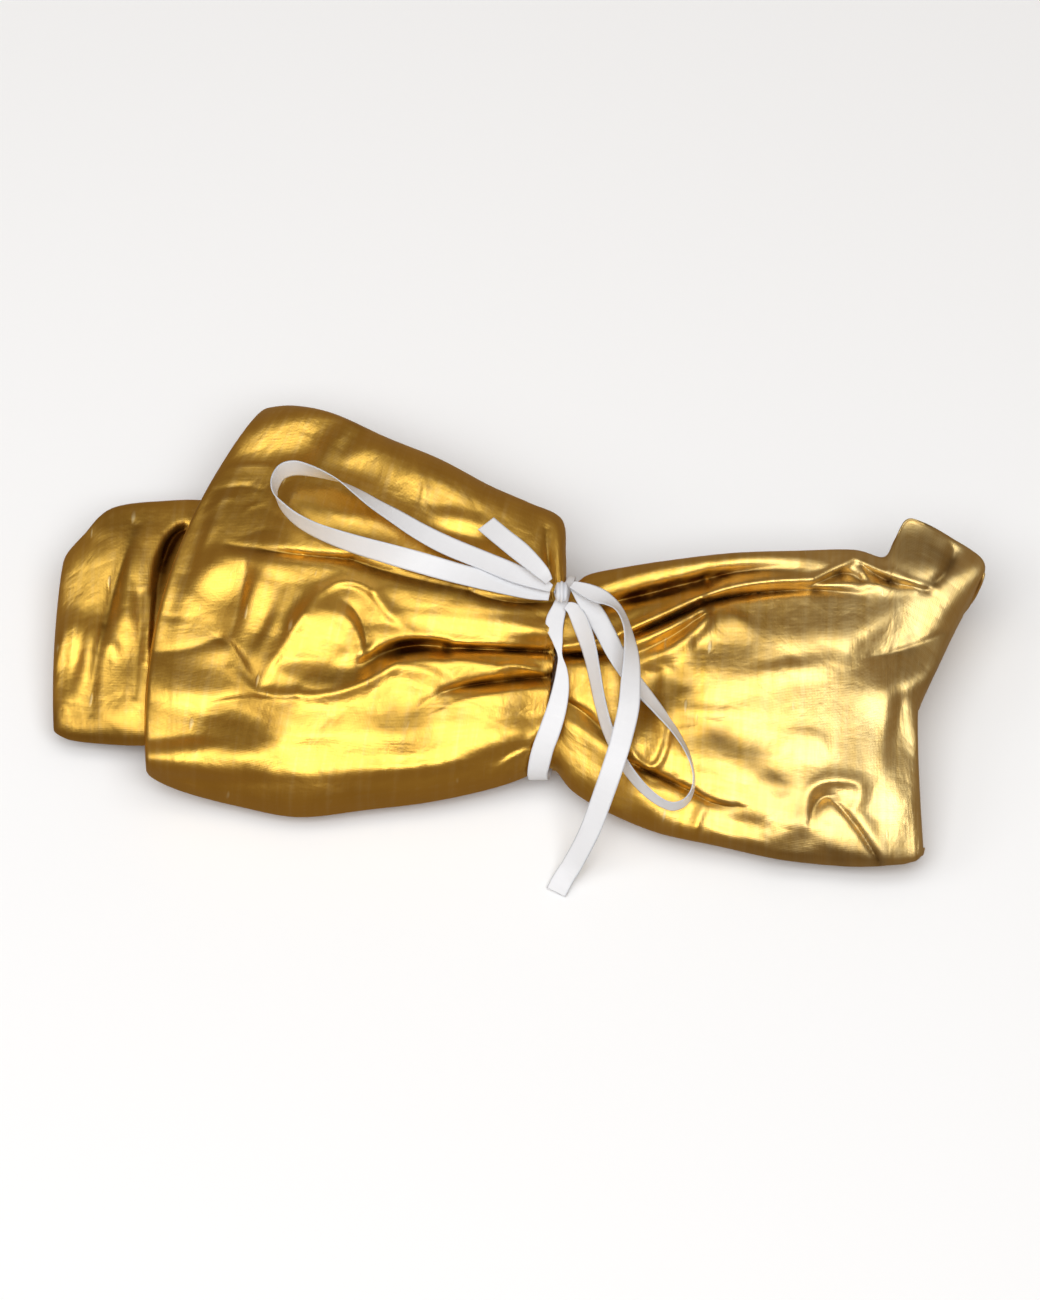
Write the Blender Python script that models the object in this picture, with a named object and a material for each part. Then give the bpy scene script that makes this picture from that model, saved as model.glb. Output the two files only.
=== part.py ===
"""A gathered cloth turban that lies flat, tied at its waist with a narrow ribbon.

X runs along the turban to the wearer's left, Y towards the crown and Z up. The ground is z = 0.
The tables are in millimetres and degrees; the meshes are in metres.
"""

import math

import bmesh
import bpy
from mathutils import Vector

MM = 0.001

# Driving sizes
CLOTH = 1.4            # wall of the cloth
RIBBON_WIDTH = 6.35    # quarter-inch ribbon
RIBBON = 1.0           # wall of the ribbon
WAIST_X = 11.7         # where the ribbon ties the cloth, at y = 0
WAIST_LEAN = 0.13      # how far that line moves along X for each millimetre of Y
WAIST_PRESS = 0.7      # share of the folds' height that the ribbon takes away
STEPS = 3              # mesh rows from one section to the next
ARCH_STEPS = 12        # mesh columns over an arch
ARCH_POWER = 0.6       # below 1 the arch is flat on top and steep at its edges
ROUND_BEND = 2.0       # how a section bows along X: 2 bends it evenly
SHARP_BEND = 1.15      # and nearer 1 bends it mostly in its middle

# A section crosses the band from its lower edge to its crown edge.
# crest is the height in the middle, bow moves the middle along X, curl is the radius of the rolled
# edge, and tuck is how far the cloth runs in under it.
# Columns: x_low, y_low, z_low, x_high, y_high, z_high, crest, bow, curl, tuck
LEFT_PANEL = [
    (-105.0, -35.5, 14.5, -75.0, 77.0, 15.0, 23.0, -10.0, 0.6, 0.5),
    (-108.5, -37.8, 14.0, -76.5, 79.5, 15.0, 23.3, -10.0, 1.0, 1.0),
    (-111.0, -40.2, 13.0, -77.5, 82.0, 15.0, 25.5, -10.5, 2.0, 2.0),
    (-107.5, -42.6, 11.5, -75.5, 82.5, 15.5, 28.8, -9.0, 2.5, 4.0),
    (-99.0, -45.4, 9.5, -67.5, 81.8, 16.5, 31.5, -6.0, 2.5, 6.0),
    (-84.0, -49.0, 8.0, -56.0, 77.6, 17.0, 35.5, -3.0, 2.5, 8.0),
    (-66.0, -52.4, 7.5, -40.0, 68.0, 18.0, 37.5, 0.0, 2.5, 8.0),
    (-46.0, -50.0, 7.5, -24.0, 60.0, 18.5, 37.5, 0.0, 2.5, 8.0),
    (-27.0, -47.6, 8.0, -9.0, 50.5, 19.5, 36.0, 0.0, 2.5, 8.0),
    (-10.0, -44.0, 9.0, 2.6, 44.2, 21.0, 34.5, 0.0, 2.5, 8.0),
    (0.5, -41.0, 10.6, 12.4, 38.6, 22.6, 31.4, 0.0, 2.5, 8.0),
    (4.2, -39.2, 12.0, 13.5, 27.0, 24.0, 30.0, 0.0, 2.2, 6.0),
    (6.6, -38.2, 12.6, 13.6, 15.8, 25.0, 29.0, 0.0, 2.0, 5.0),
]
RIGHT_PANEL = [
    (7.4, -38.2, 12.6, 14.9, 15.2, 25.0, 29.0, 0.0, 2.0, 5.0),
    (10.9, -39.4, 12.1, 17.2, 15.6, 25.0, 29.0, 0.0, 2.1, 5.5),
    (16.0, -45.5, 10.5, 21.0, 18.0, 25.5, 29.5, 0.0, 2.5, 8.0),
    (26.0, -51.5, 9.0, 31.0, 19.5, 27.0, 30.0, 0.0, 2.5, 8.0),
    (41.0, -58.3, 8.5, 46.0, 21.5, 28.0, 31.0, 0.0, 2.5, 8.0),
    (58.0, -62.3, 8.0, 64.0, 23.3, 29.0, 31.5, 0.0, 2.5, 8.0),
    (77.0, -67.3, 8.5, 83.0, 24.5, 28.5, 31.0, 0.0, 2.5, 8.0),
    (95.0, -69.8, 9.0, 100.0, 25.6, 27.5, 30.0, 0.0, 2.5, 7.0),
    (105.0, -70.2, 9.5, 109.0, 23.2, 27.5, 29.5, 0.0, 2.3, 5.0),
    (109.5, -70.0, 9.8, 112.4, 27.6, 31.0, 29.0, -1.5, 2.0, 4.5),
    (113.5, -69.8, 10.0, 116.0, 33.2, 34.5, 28.0, -3.0, 1.8, 4.0),
    (115.5, -69.4, 10.3, 121.0, 32.8, 33.5, 27.0, -5.0, 1.6, 3.5),
    (117.2, -69.0, 10.5, 129.0, 29.2, 31.0, 25.5, -7.5, 1.4, 3.0),
    (118.8, -67.5, 10.5, 138.4, 24.8, 26.0, 21.5, -10.5, 1.1, 2.0),
    (119.3, -66.0, 8.5, 138.2, 21.4, 18.5, 15.5, -10.5, 1.0, 1.5),
    (117.5, -64.0, 5.2, 134.4, 18.6, 9.5, 8.5, -10.0, 0.7, 1.0),
    (113.0, -62.0, 3.4, 128.5, 16.2, 4.2, 4.2, -7.5, 0.5, 0.7),
    (104.0, -59.5, 3.0, 118.0, 14.4, 3.0, 3.0, -3.0, 0.3, 0.5),
]
SIDE_FOLD = [
    (-86.0, -26.0, 11.0, -80.0, 47.0, 12.0, 14.5, 0.0, 0.5, 1.0),
    (-99.0, -28.4, 10.0, -93.0, 51.8, 13.5, 18.0, 0.0, 1.0, 2.0),
    (-112.0, -29.0, 9.0, -108.0, 51.2, 14.0, 20.5, 0.0, 1.5, 3.0),
    (-124.0, -28.2, 8.5, -123.5, 48.9, 13.5, 20.0, 0.0, 1.5, 3.0),
    (-134.0, -26.9, 8.5, -131.5, 40.4, 13.0, 18.0, -0.5, 1.5, 3.0),
    (-138.8, -24.2, 8.0, -137.0, 33.8, 12.0, 14.5, -1.0, 1.2, 2.0),
    (-138.8, -21.5, 5.8, -137.4, 31.4, 7.2, 8.5, -1.0, 0.8, 1.0),
    (-135.0, -19.6, 3.6, -133.0, 30.0, 3.9, 4.2, 0.0, 0.5, 0.7),
    (-125.0, -18.5, 3.0, -123.0, 29.5, 3.0, 3.0, 0.0, 0.3, 0.5),
]

# Ridges have a positive height and grooves a negative one. Each runs straight from one place to the
# other, is this wide each side and dies out at its ends.
# Columns: x_start, y_start, x_end, y_end, height, width
LEFT_FOLDS = [
    (-62.0, 4.0, 6.0, 2.0, -4.5, 5.0),
    (-40.0, -10.0, 8.0, -9.0, 2.8, 4.0),
    (-20.0, -19.0, 9.0, -17.0, -3.5, 3.5),
    (-75.0, -14.0, 2.0, -26.0, 3.0, 6.0),
    (-92.0, 12.0, -4.0, 12.0, -2.4, 6.0),
    (-48.0, 68.0, -60.0, 58.0, -2.0, 4.0),
    (-85.0, 24.0, -84.0, 4.0, 1.6, 3.0),
    (-94.0, -32.0, -74.0, -22.0, -2.5, 6.0),
    (-46.0, -34.0, -34.0, -22.0, -2.5, 5.0),
    (-70.0, -16.0, -56.0, 6.0, 2.2, 6.0),
    (-12.0, 26.0, 10.0, 10.0, -2.0, 4.0),
    (9.0, 34.0, 11.0, 20.0, 1.0, 2.5),
]
RIGHT_FOLDS = [
    (12.0, 4.0, 52.0, 12.0, -3.5, 4.0),
    (10.0, -9.0, 50.0, -6.0, 1.2, 5.0),
    (48.0, 11.0, 108.0, 12.0, -3.0, 4.0),
    (14.0, -18.0, 44.0, -26.0, -3.0, 4.0),
    (26.0, -36.0, 60.0, -54.0, -3.0, 3.5),
    (34.0, -20.0, 46.0, -38.0, -2.6, 4.0),
    (84.0, -48.0, 96.0, -44.0, 3.0, 6.0),
    (96.0, -44.0, 106.0, -62.0, -2.4, 4.0),
    (52.0, -28.0, 78.0, -44.0, -2.0, 7.0),
    (100.0, 16.0, 122.0, 26.0, -2.5, 5.0),
]
SIDE_FOLDS = [
    (-118.0, 44.0, -126.0, -20.0, -3.2, 3.0),
    (-126.0, 36.0, -133.0, -18.0, 2.4, 3.0),
    (-110.0, 42.0, -118.0, -22.0, 2.4, 3.0),
    (-104.0, 40.0, -107.0, -18.0, -2.6, 3.0),
]

# The back band lies on the ground. Columns: x, y_low, y_high
BACK_BAND = [
    (114.0, -58.0, 13.5),
    (92.0, -52.0, 14.0),
    (60.0, -40.0, 14.0),
    (30.0, -34.0, 13.0),
    (8.0, -33.0, 12.0),
    (-25.0, -32.0, 16.0),
    (-65.0, -26.0, 23.0),
    (-100.0, -20.0, 28.0),
    (-129.0, -18.0, 29.0),
]

# The ribbon's middle line. roll turns its width up from the level, and width is less than
# RIBBON_WIDTH where the knot bunches it. Columns: x, y, z, roll, width
KNOT = (12.4, 7.5, 36.7)
KNOT_SIZE = (4.6, 5.4, 3.8)
LOOP_LEFT = [
    (9.3, 8.3, 37.2, 0.0, 2.6),
    (6.3, 9.5, 38.1, 0.0, 4.4),
    (-1.5, 12.3, 39.3, 0.0, 6.35),
    (-11.7, 16.5, 40.4, 0.0, 6.35),
    (-21.9, 20.8, 41.4, 0.0, 6.35),
    (-30.0, 25.3, 42.0, 10.0, 6.35),
    (-37.2, 30.1, 42.6, 22.0, 6.35),
    (-43.2, 34.1, 43.0, 34.0, 6.35),
    (-48.0, 37.8, 43.2, 46.0, 6.35),
    (-53.1, 41.6, 43.2, 62.0, 6.35),
    (-57.9, 44.1, 43.0, 77.0, 6.35),
    (-62.7, 46.1, 42.6, 90.0, 6.35),
    (-67.5, 47.3, 42.2, 102.0, 6.35),
    (-71.4, 46.2, 41.8, 107.0, 6.35),
    (-73.5, 42.1, 41.6, 107.0, 6.35),
    (-73.2, 37.5, 41.8, 102.0, 6.35),
    (-70.8, 33.6, 42.0, 92.0, 6.35),
    (-66.6, 29.3, 42.2, 84.0, 6.35),
    (-60.0, 25.1, 42.4, 76.0, 6.35),
    (-50.4, 21.1, 42.4, 62.0, 6.35),
    (-39.6, 17.7, 42.0, 48.0, 6.35),
    (-29.4, 14.7, 41.4, 28.0, 6.35),
    (-18.6, 11.7, 40.4, 10.0, 6.35),
    (-6.0, 9.1, 38.6, 0.0, 6.35),
    (3.0, 7.5, 36.8, 0.0, 5.2),
    (8.7, 6.5, 35.6, 0.0, 2.8),
]
LOOP_RIGHT = [
    (15.9, 9.1, 37.0, 0.0, 2.4),
    (18.6, 5.0, 37.6, 0.0, 4.4),
    (21.9, -0.0, 37.2, -6.0, 6.35),
    (25.2, -6.1, 36.4, -12.0, 6.35),
    (28.2, -12.2, 35.0, -18.0, 6.35),
    (32.1, -18.4, 33.0, -24.0, 6.35),
    (36.6, -24.0, 31.4, -32.0, 6.35),
    (41.4, -30.3, 30.8, -44.0, 6.35),
    (45.9, -36.8, 30.2, -58.0, 6.35),
    (49.5, -43.6, 29.4, -70.0, 6.35),
    (51.3, -50.1, 28.0, -82.0, 6.35),
    (50.7, -55.1, 26.4, -91.0, 6.35),
    (48.0, -58.1, 25.0, -97.0, 6.35),
    (43.8, -58.4, 24.4, -97.0, 6.35),
    (38.4, -54.6, 24.4, -89.0, 6.35),
    (33.3, -48.7, 25.0, -82.0, 6.35),
    (29.1, -41.8, 26.2, -76.0, 6.35),
    (25.8, -33.9, 28.2, -70.0, 6.35),
    (23.7, -26.3, 30.6, -66.0, 6.35),
    (22.2, -18.8, 33.2, -62.0, 6.35),
    (20.7, -11.8, 35.4, -56.0, 6.35),
    (18.6, -4.7, 36.4, -46.0, 6.0),
    (16.2, 1.3, 36.2, -30.0, 4.4),
    (13.8, 3.6, 35.2, -10.0, 2.4),
]
TAIL_SHORT = [
    (8.6, 9.4, 39.6, 0.0, 2.6),
    (6.4, 11.7, 41.4, 0.0, 4.6),
    (0.3, 18.0, 42.0, 0.0, 6.35),
    (-6.0, 24.2, 41.5, 0.0, 6.35),
    (-10.2, 28.9, 40.5, 0.0, 6.35),
]
TAIL_LONG = [
    (15.5, 9.0, 38.4, 0.0, 2.6),
    (19.2, 6.5, 39.8, -5.0, 4.8),
    (23.4, 3.8, 40.6, -16.0, 6.35),
    (27.0, 1.3, 41.0, -38.0, 6.35),
    (30.0, -2.3, 41.2, -58.0, 6.35),
    (32.1, -8.3, 40.8, -62.0, 6.35),
    (33.0, -15.9, 39.6, -44.0, 6.35),
    (32.7, -24.8, 38.2, -24.0, 6.35),
    (32.1, -32.3, 36.8, -12.0, 6.35),
    (30.3, -40.2, 34.8, -4.0, 6.35),
    (28.5, -46.1, 32.4, 0.0, 6.35),
    (25.2, -54.0, 26.4, 0.0, 6.35),
    (20.7, -61.9, 15.4, 0.0, 6.35),
    (15.9, -67.5, 6.0, 0.0, 6.35),
    (12.9, -71.0, 2.4, 0.0, 6.35),
    (10.7, -74.9, 0.95, 0.0, 6.35),
]
# The ribbon goes up over the gathers at the waist, from the crown edge, and back below them.
# Columns: x, y, z, width
BAND = [
    (15.7, 17.8, 25.0, 1.8),
    (15.7, 16.9, 29.6, 1.8),
    (15.0, 13.6, 32.6, 2.4),
    (13.6, 9.4, 33.8, 3.0),
    (11.8, 4.0, 33.6, 4.4),
    (10.3, -1.5, 33.4, 5.4),
    (11.2, -7.5, 32.9, 3.0),
    (11.9, -11.8, 32.0, 1.4),
    (12.4, -16.0, 31.2, 3.2),
    (12.2, -21.0, 29.8, 4.8),
    (11.0, -27.0, 27.8, 5.8),
    (9.0, -32.8, 25.0, 6.35),
    (7.0, -37.2, 22.0, 6.35),
    (5.8, -40.4, 18.4, 6.35),
    (5.2, -42.0, 14.0, 6.0),
    (5.6, -41.4, 9.6, 5.8),
    (6.4, -37.6, 7.6, 6.0),
    (7.8, -30.0, 7.3, 6.35),
    (9.8, -16.0, 7.5, 6.35),
    (12.4, -2.0, 8.4, 6.35),
    (14.2, 8.4, 11.4, 4.8),
    (15.4, 14.8, 15.6, 3.2),
    (15.7, 17.6, 20.4, 2.0),
]

# Colour, roughness and metallic value of each slot
FINISHES = {
    "gold_cloth": ((0.62, 0.40, 0.09, 1.0), 0.34, 0.9),
    "white_ribbon": ((0.86, 0.88, 0.90, 1.0), 0.42, 0.0),
}


def between(rows, t):
    """One row of a table at t, a row number with a fraction, on a smooth curve through the rows."""
    last = len(rows) - 1
    i = min(int(t), last - 1)
    u = t - i
    before, start, end, after = (rows[min(max(i + k, 0), last)] for k in (-1, 0, 1, 2))
    return [
        b + 0.5 * u * (c - a + u * (2 * a - 5 * b + 4 * c - d + u * (3 * (b - c) + d - a)))
        for a, b, c, d in zip(before, start, end, after)
    ]


def refined(rows, steps):
    """The table's rows with more rows between them."""
    count = (len(rows) - 1) * steps
    return [between(rows, i / steps) for i in range(count + 1)]


def fold_height(folds, x, y):
    """How far the folds raise or lower the cloth at a place."""
    total = 0.0
    for x0, y0, x1, y1, height, width in folds:
        length = math.hypot(x1 - x0, y1 - y0)
        along = ((x - x0) * (x1 - x0) + (y - y0) * (y1 - y0)) / length
        aside = ((x - x0) * (y1 - y0) - (y - y0) * (x1 - x0)) / length
        past = max(-along, along - length, 0.0)
        total += height * math.exp(-(aside / width) ** 2 - (past / (1.5 * width)) ** 2)
    from_waist = (x - WAIST_X - WAIST_LEAN * y) / RIBBON_WIDTH
    return total * (1 - WAIST_PRESS * math.exp(-from_waist ** 2))


def section_points(row, folds, bend):
    """The points of one section, from the tuck below the lower edge to the one below the rim."""
    x_low, y_low, z_low, x_high, y_high, z_high, crest, bow, curl, tuck = row
    low = Vector((x_low, y_low, z_low))
    high = Vector((x_high, y_high, z_high))
    inward = Vector((x_high - x_low, y_high - y_low, 0.0)).normalized()
    down = Vector((0.0, 0.0, -1.0))
    rolled = [(curl + tuck, curl), (curl + tuck / 2, curl), (curl, curl), (0.3 * curl, 0.7 * curl)]
    points = [low + inward * aside + down * drop for aside, drop in rolled]
    rise = crest - (z_low + z_high) / 2
    folded = min(max((crest - 9.0) / 6.0, 0.0), 1.0)
    for i in range(ARCH_STEPS + 1):
        angle = math.pi * i / ARCH_STEPS
        across = (1 - math.cos(angle)) / 2
        arch = max(math.sin(angle), 0.0) ** ARCH_POWER
        point = low.lerp(high, across)
        point.x += bow * (1 - abs(2 * across - 1) ** bend)
        point.z += rise * arch
        point.z += folded * math.sin(angle) * fold_height(folds, point.x, point.y)
        points.append(point)
    points += [high - inward * aside + down * drop for aside, drop in reversed(rolled)]
    return points


def finish(name, slot):
    """The material of one piece, with its colour, roughness and metallic value."""
    colour, roughness, metallic = FINISHES[slot]
    material = bpy.data.materials.new(f"{slot}_{name}")
    material.use_nodes = True
    shader = material.node_tree.nodes["Principled BSDF"]
    shader.inputs["Base Color"].default_value = colour
    shader.inputs["Roughness"].default_value = roughness
    shader.inputs["Metallic"].default_value = metallic
    material.diffuse_color = colour
    return material


def keep(mesh, name, slot, sharp=50):
    """Turn a bmesh into an object with its own material."""
    bmesh.ops.recalc_face_normals(mesh, faces=mesh.faces)
    data = bpy.data.meshes.new(name)
    mesh.to_mesh(data)
    mesh.free()
    data.shade_smooth()
    data.set_sharp_from_angle(angle=math.radians(sharp))
    data.materials.append(finish(name, slot))
    piece = bpy.data.objects.new(name, data)
    bpy.context.scene.collection.objects.link(piece)
    return piece


def grid_normal(grid, i, j):
    """The direction square to a grid of points at one of them."""
    along = grid[min(i + 1, len(grid) - 1)][j] - grid[max(i - 1, 0)][j]
    across = grid[i][min(j + 1, len(grid[0]) - 1)] - grid[i][max(j - 1, 0)]
    return along.cross(across).normalized()


def walled(grid, wall):
    """A closed mesh with this wall, whose middle surface is the grid."""
    mesh = bmesh.new()
    rows, columns = len(grid), len(grid[0])
    layers = []
    for side in (0.5, -0.5):
        layers.append([
            [mesh.verts.new((grid[i][j] + grid_normal(grid, i, j) * side * wall) * MM) for j in range(columns)]
            for i in range(rows)
        ])
    for layer in layers:
        for i in range(rows - 1):
            for j in range(columns - 1):
                mesh.faces.new((layer[i][j], layer[i + 1][j], layer[i + 1][j + 1], layer[i][j + 1]))
    over, under = layers
    for j in range(columns - 1):
        for i in (0, rows - 1):
            mesh.faces.new((over[i][j], over[i][j + 1], under[i][j + 1], under[i][j]))
    for i in range(rows - 1):
        for j in (0, columns - 1):
            mesh.faces.new((over[i][j], over[i + 1][j], under[i + 1][j], under[i][j]))
    return mesh


def make_panel(name, sections, folds, bend=ROUND_BEND):
    """An arched panel of cloth through its sections."""
    grid = [section_points(row, folds, bend) for row in refined(sections, STEPS)]
    return keep(walled(grid, CLOTH), name, "gold_cloth")


def make_back_band():
    """The flat band behind, on the ground."""
    grid = []
    for x, y_low, y_high in refined(BACK_BAND, 2):
        grid.append([Vector((x, y_low + (y_high - y_low) * k / 4, CLOTH / 2)) for k in range(5)])
    return keep(walled(grid, CLOTH), "back_band", "gold_cloth")


def ribbon_frame(path, i, roll):
    """The width and the wall directions of a ribbon at one point of its path."""
    ahead = (path[min(i + 1, len(path) - 1)] - path[max(i - 1, 0)]).normalized()
    level = Vector((0.0, 0.0, 1.0)).cross(ahead).normalized()
    over = ahead.cross(level)
    turn = math.radians(roll)
    wide = level * math.cos(turn) + over * math.sin(turn)
    return wide, ahead.cross(wide).normalized()


def make_ribbon(name, table, steps=2):
    """One free strand of ribbon along its table."""
    rows = refined(table, steps)
    path = [Vector(row[:3]) for row in rows]
    grid = []
    for i, (point, row) in enumerate(zip(path, rows)):
        wide, _ = ribbon_frame(path, i, row[3])
        half = wide * row[4] / 2
        grid.append([point - half, point, point + half])
    return keep(walled(grid, RIBBON), name, "white_ribbon")


def make_ribbon_band(steps=2):
    """The closed ring of ribbon round the gathered waist."""
    wrapped = [BAND[-1]] + BAND + BAND[:2]
    rows = [between(wrapped, 1 + k / steps) for k in range(len(BAND) * steps)]
    path = [Vector(row[:3]) for row in rows]
    centre = sum(path, Vector()) / len(path)
    mesh = bmesh.new()
    rings = []
    for i, point in enumerate(path):
        ahead = (path[(i + 1) % len(path)] - path[i - 1]).normalized()
        wide = (Vector((1.0, 0.0, 0.0)) - ahead * ahead.x).normalized()
        out = ahead.cross(wide).normalized()
        if out.dot(point - centre) < 0:
            out = -out
        corners = [(-1, -1), (1, -1), (1, 1), (-1, 1)]
        rings.append([
            mesh.verts.new((point + wide * a * rows[i][3] / 2 + out * b * RIBBON / 2) * MM)
            for a, b in corners
        ])
    for i, ring in enumerate(rings):
        after = rings[(i + 1) % len(rings)]
        for k in range(4):
            mesh.faces.new((ring[k], ring[(k + 1) % 4], after[(k + 1) % 4], after[k]))
    return keep(mesh, "ribbon_band", "white_ribbon")


def make_knot():
    """The knot: a small rounded block of wrapped ribbon."""
    mesh = bmesh.new()
    bmesh.ops.create_cube(mesh, size=1.0)
    for vert in mesh.verts:
        vert.co = Vector(c * s for c, s in zip(vert.co, KNOT_SIZE)) * MM
    bmesh.ops.bevel(mesh, geom=mesh.edges[:], offset=1.0 * MM, segments=2, affect="EDGES", profile=0.5)
    knot = keep(mesh, "ribbon_knot", "white_ribbon")
    knot.location = Vector(KNOT) * MM
    return knot


def clear_scene():
    for thing in list(bpy.data.objects):
        bpy.data.objects.remove(thing, do_unlink=True)


def build():
    clear_scene()
    make_panel("left_panel", LEFT_PANEL, LEFT_FOLDS)
    make_panel("right_panel", RIGHT_PANEL, RIGHT_FOLDS, SHARP_BEND)
    make_panel("side_fold", SIDE_FOLD, SIDE_FOLDS)
    make_back_band()
    make_ribbon_band()
    make_knot()
    make_ribbon("ribbon_loop_left", LOOP_LEFT)
    make_ribbon("ribbon_loop_right", LOOP_RIGHT)
    make_ribbon("ribbon_tail_short", TAIL_SHORT)
    make_ribbon("ribbon_tail_long", TAIL_LONG)


build()
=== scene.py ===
"""The looks of a gathered gold cloth turban, tied at its waist with a narrow white ribbon.

Tables are in millimetres, degrees and pixels of the 1040 x 1300 photograph; meshes are in metres.
"""

import math

import bpy
import numpy as np
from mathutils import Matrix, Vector


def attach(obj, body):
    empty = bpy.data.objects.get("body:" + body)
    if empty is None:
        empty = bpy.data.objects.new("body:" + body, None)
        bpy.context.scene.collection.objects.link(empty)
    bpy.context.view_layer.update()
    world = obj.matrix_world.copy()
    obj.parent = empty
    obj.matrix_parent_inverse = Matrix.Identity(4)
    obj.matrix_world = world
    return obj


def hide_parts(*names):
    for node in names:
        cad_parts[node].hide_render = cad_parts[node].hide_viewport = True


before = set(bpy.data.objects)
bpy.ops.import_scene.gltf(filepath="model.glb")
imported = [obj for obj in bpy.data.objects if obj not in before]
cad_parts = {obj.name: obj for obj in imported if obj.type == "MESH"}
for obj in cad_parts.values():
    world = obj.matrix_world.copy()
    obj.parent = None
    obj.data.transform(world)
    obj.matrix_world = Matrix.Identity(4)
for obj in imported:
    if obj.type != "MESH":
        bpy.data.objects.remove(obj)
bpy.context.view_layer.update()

MM = 0.001

# The photograph
PHOTO_HEIGHT = 1300
MM_PER_PIXEL = 0.30
CENTRE_U, CENTRE_V = 520, 650          # the pixel over the frame's origin
LOOK_HEIGHT = 15.0                     # height of the point that the camera looks at
ELEVATION = math.radians(60)
CAMERA_DISTANCE = 2400.0
SENSOR = 36.0

# The studio
FLOOR_SIZE = 6                         # metres
FLOOR_COLOUR = (0.93, 0.95, 0.97, 1)
DIM_STUDIO = (0.23, 0.165, 0.108, 1)
GREY_STUDIO = (0.45, 0.45, 0.45, 1)
# The studio turns from dim to grey between these, as directions 1 long. Ahead counts towards the front.
GREY_ABOVE = (0.40, 0.85)
GREY_AHEAD = (0.0, 0.9)
AHEAD_WEIGHT = 0.9
# Lights, turned to the frame's origin. Columns: name, place and size in metres, watts
LIGHTS = [
    ("front_softbox", (0.0, -0.68, 1.36), 1.7, 0.8, 14.5),
    ("top_softbox", (0.0, 0.05, 1.55), 1.7, 0.5, 4.6),
    ("left_softbox", (-1.15, -0.25, 0.95), 0.7, 0.7, 3.0),
]

# Cloth and ribbon
CLOTH_WALL = 0.6
BACK_WALL = 1.2
BACK_HEIGHT = 0.7                      # height of the back band's middle
BACK_STEPS, BACK_COLUMNS = 12, 40
RIBBON_WALL = 0.35
RIBBON_CUP = 0.10                      # how hollow the ribbon is across its width
RIBBON_COLUMNS = 13                    # points across the ribbon
RIBBON_STEPS = 10                      # steps from one row of a ribbon's table to the next
# How dark and how pale the ribbon is from one edge to the other
SELVEDGE = {
    "painted_shade_and_selvedge": np.array([[0.6] + [0.0] * (RIBBON_COLUMNS - 2) + [0.6]]),
    "painted_light_and_tone": np.array([[0.1] + [0.5] * (RIBBON_COLUMNS - 2) + [0.1]]),
}
# Painted light: the gold starts to be painted paler at PALE_FROM along X, and is paler by PALE_SHARE
# from PALE_TO on
PALE_FROM, PALE_TO, PALE_SHARE = 20.0, 125.0, 0.55
ARCH_POWER = 0.6                       # lower makes an arch fuller at its sides
SECTION_STEPS = 60                     # fine steps from one section of a panel to the next
ROLL_STEPS = 8                         # points round a rolled edge, and along a tuck
ROUND_BEND = 2.0                       # how a section bows along X: 2 bends it evenly
SHARP_BEND = 1.15                      # and nearer 1 bends it mostly in its middle
FOLD_MEETING = 3.0                     # 1 adds folds up where they meet, more keeps the higher one
CREASE_DEPTH = 3.2                     # a crease this deep gets the full painted shade
PLACE_FALL = 0.7                       # how fast a place fades out at its edge
PAINTED_SHADE_EDGE = 2.6                       # how crisp the edge of a place of painted shade is
FOLD_STEPS = 16                        # straight steps in a fold's curve
FOLD_REACH = 3.2                       # how many widths from its line a fold still counts
FACING_FROM, FACING_TO = -0.1, 0.4     # folds fade out where the cloth turns from the camera
CRUMPLE_WANDER = 0.8                   # how far the crumples' lines wander
CRUMPLE_POWER = 0.8                    # lower makes the crumples sharper
CRUMPLE_SINK = 0.35                    # lets crumples lower the cloth as well as raise it

# The weave
THREAD_HEIGHT = 0.010
SLUB_HEIGHT, SLUB_ROUGHNESS, SLUB_PALENESS = 0.35, 0.25, 1.2
MOTTLE_ROUGHNESS, MOTTLE_CREASE = 0.35, 2.2
WEAVE_PER_METRE = 10                   # the weave is laid out in units of 100 mm

# A section crosses the band from its lower edge to its crown edge.
# crest is the height in the middle, bow moves the middle along X, curl is the radius of the rolled
# edge, and tuck is how far the cloth runs in under it.
# Columns: x_low, y_low, z_low, x_high, y_high, z_high, crest, bow, curl, tuck
LEFT_PANEL = [
    (-105.0, -35.5, 14.5, -75.0, 77.0, 15.0, 23.0, -10.0, 0.6, 0.5),
    (-108.5, -37.8, 14.0, -76.5, 79.5, 15.0, 23.3, -10.0, 1.0, 1.0),
    (-111.0, -40.2, 13.0, -77.5, 82.0, 15.0, 25.5, -10.5, 2.0, 2.0),
    (-107.5, -42.6, 11.5, -75.5, 82.5, 15.5, 28.8, -9.0, 2.5, 4.0),
    (-99.0, -45.4, 9.5, -67.5, 81.8, 16.5, 31.5, -6.0, 2.5, 6.0),
    (-84.0, -49.0, 8.0, -56.0, 77.6, 17.0, 35.5, -3.0, 2.5, 8.0),
    (-66.0, -52.4, 7.5, -40.0, 68.0, 18.0, 37.5, 0.0, 2.5, 8.0),
    (-46.0, -50.0, 7.5, -24.0, 60.0, 18.5, 37.5, 0.0, 2.5, 8.0),
    (-27.0, -47.6, 8.0, -9.0, 50.5, 19.5, 36.0, 0.0, 2.5, 8.0),
    (-10.0, -44.0, 9.0, 2.6, 44.2, 21.0, 34.5, 0.0, 2.5, 8.0),
    (0.5, -41.0, 10.6, 12.4, 38.6, 22.6, 31.4, 0.0, 2.5, 8.0),
    (4.2, -39.2, 12.0, 13.5, 27.0, 24.0, 30.0, 0.0, 2.2, 6.0),
    (6.6, -38.2, 12.6, 13.6, 15.8, 25.0, 29.0, 0.0, 2.0, 5.0),
]
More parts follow.
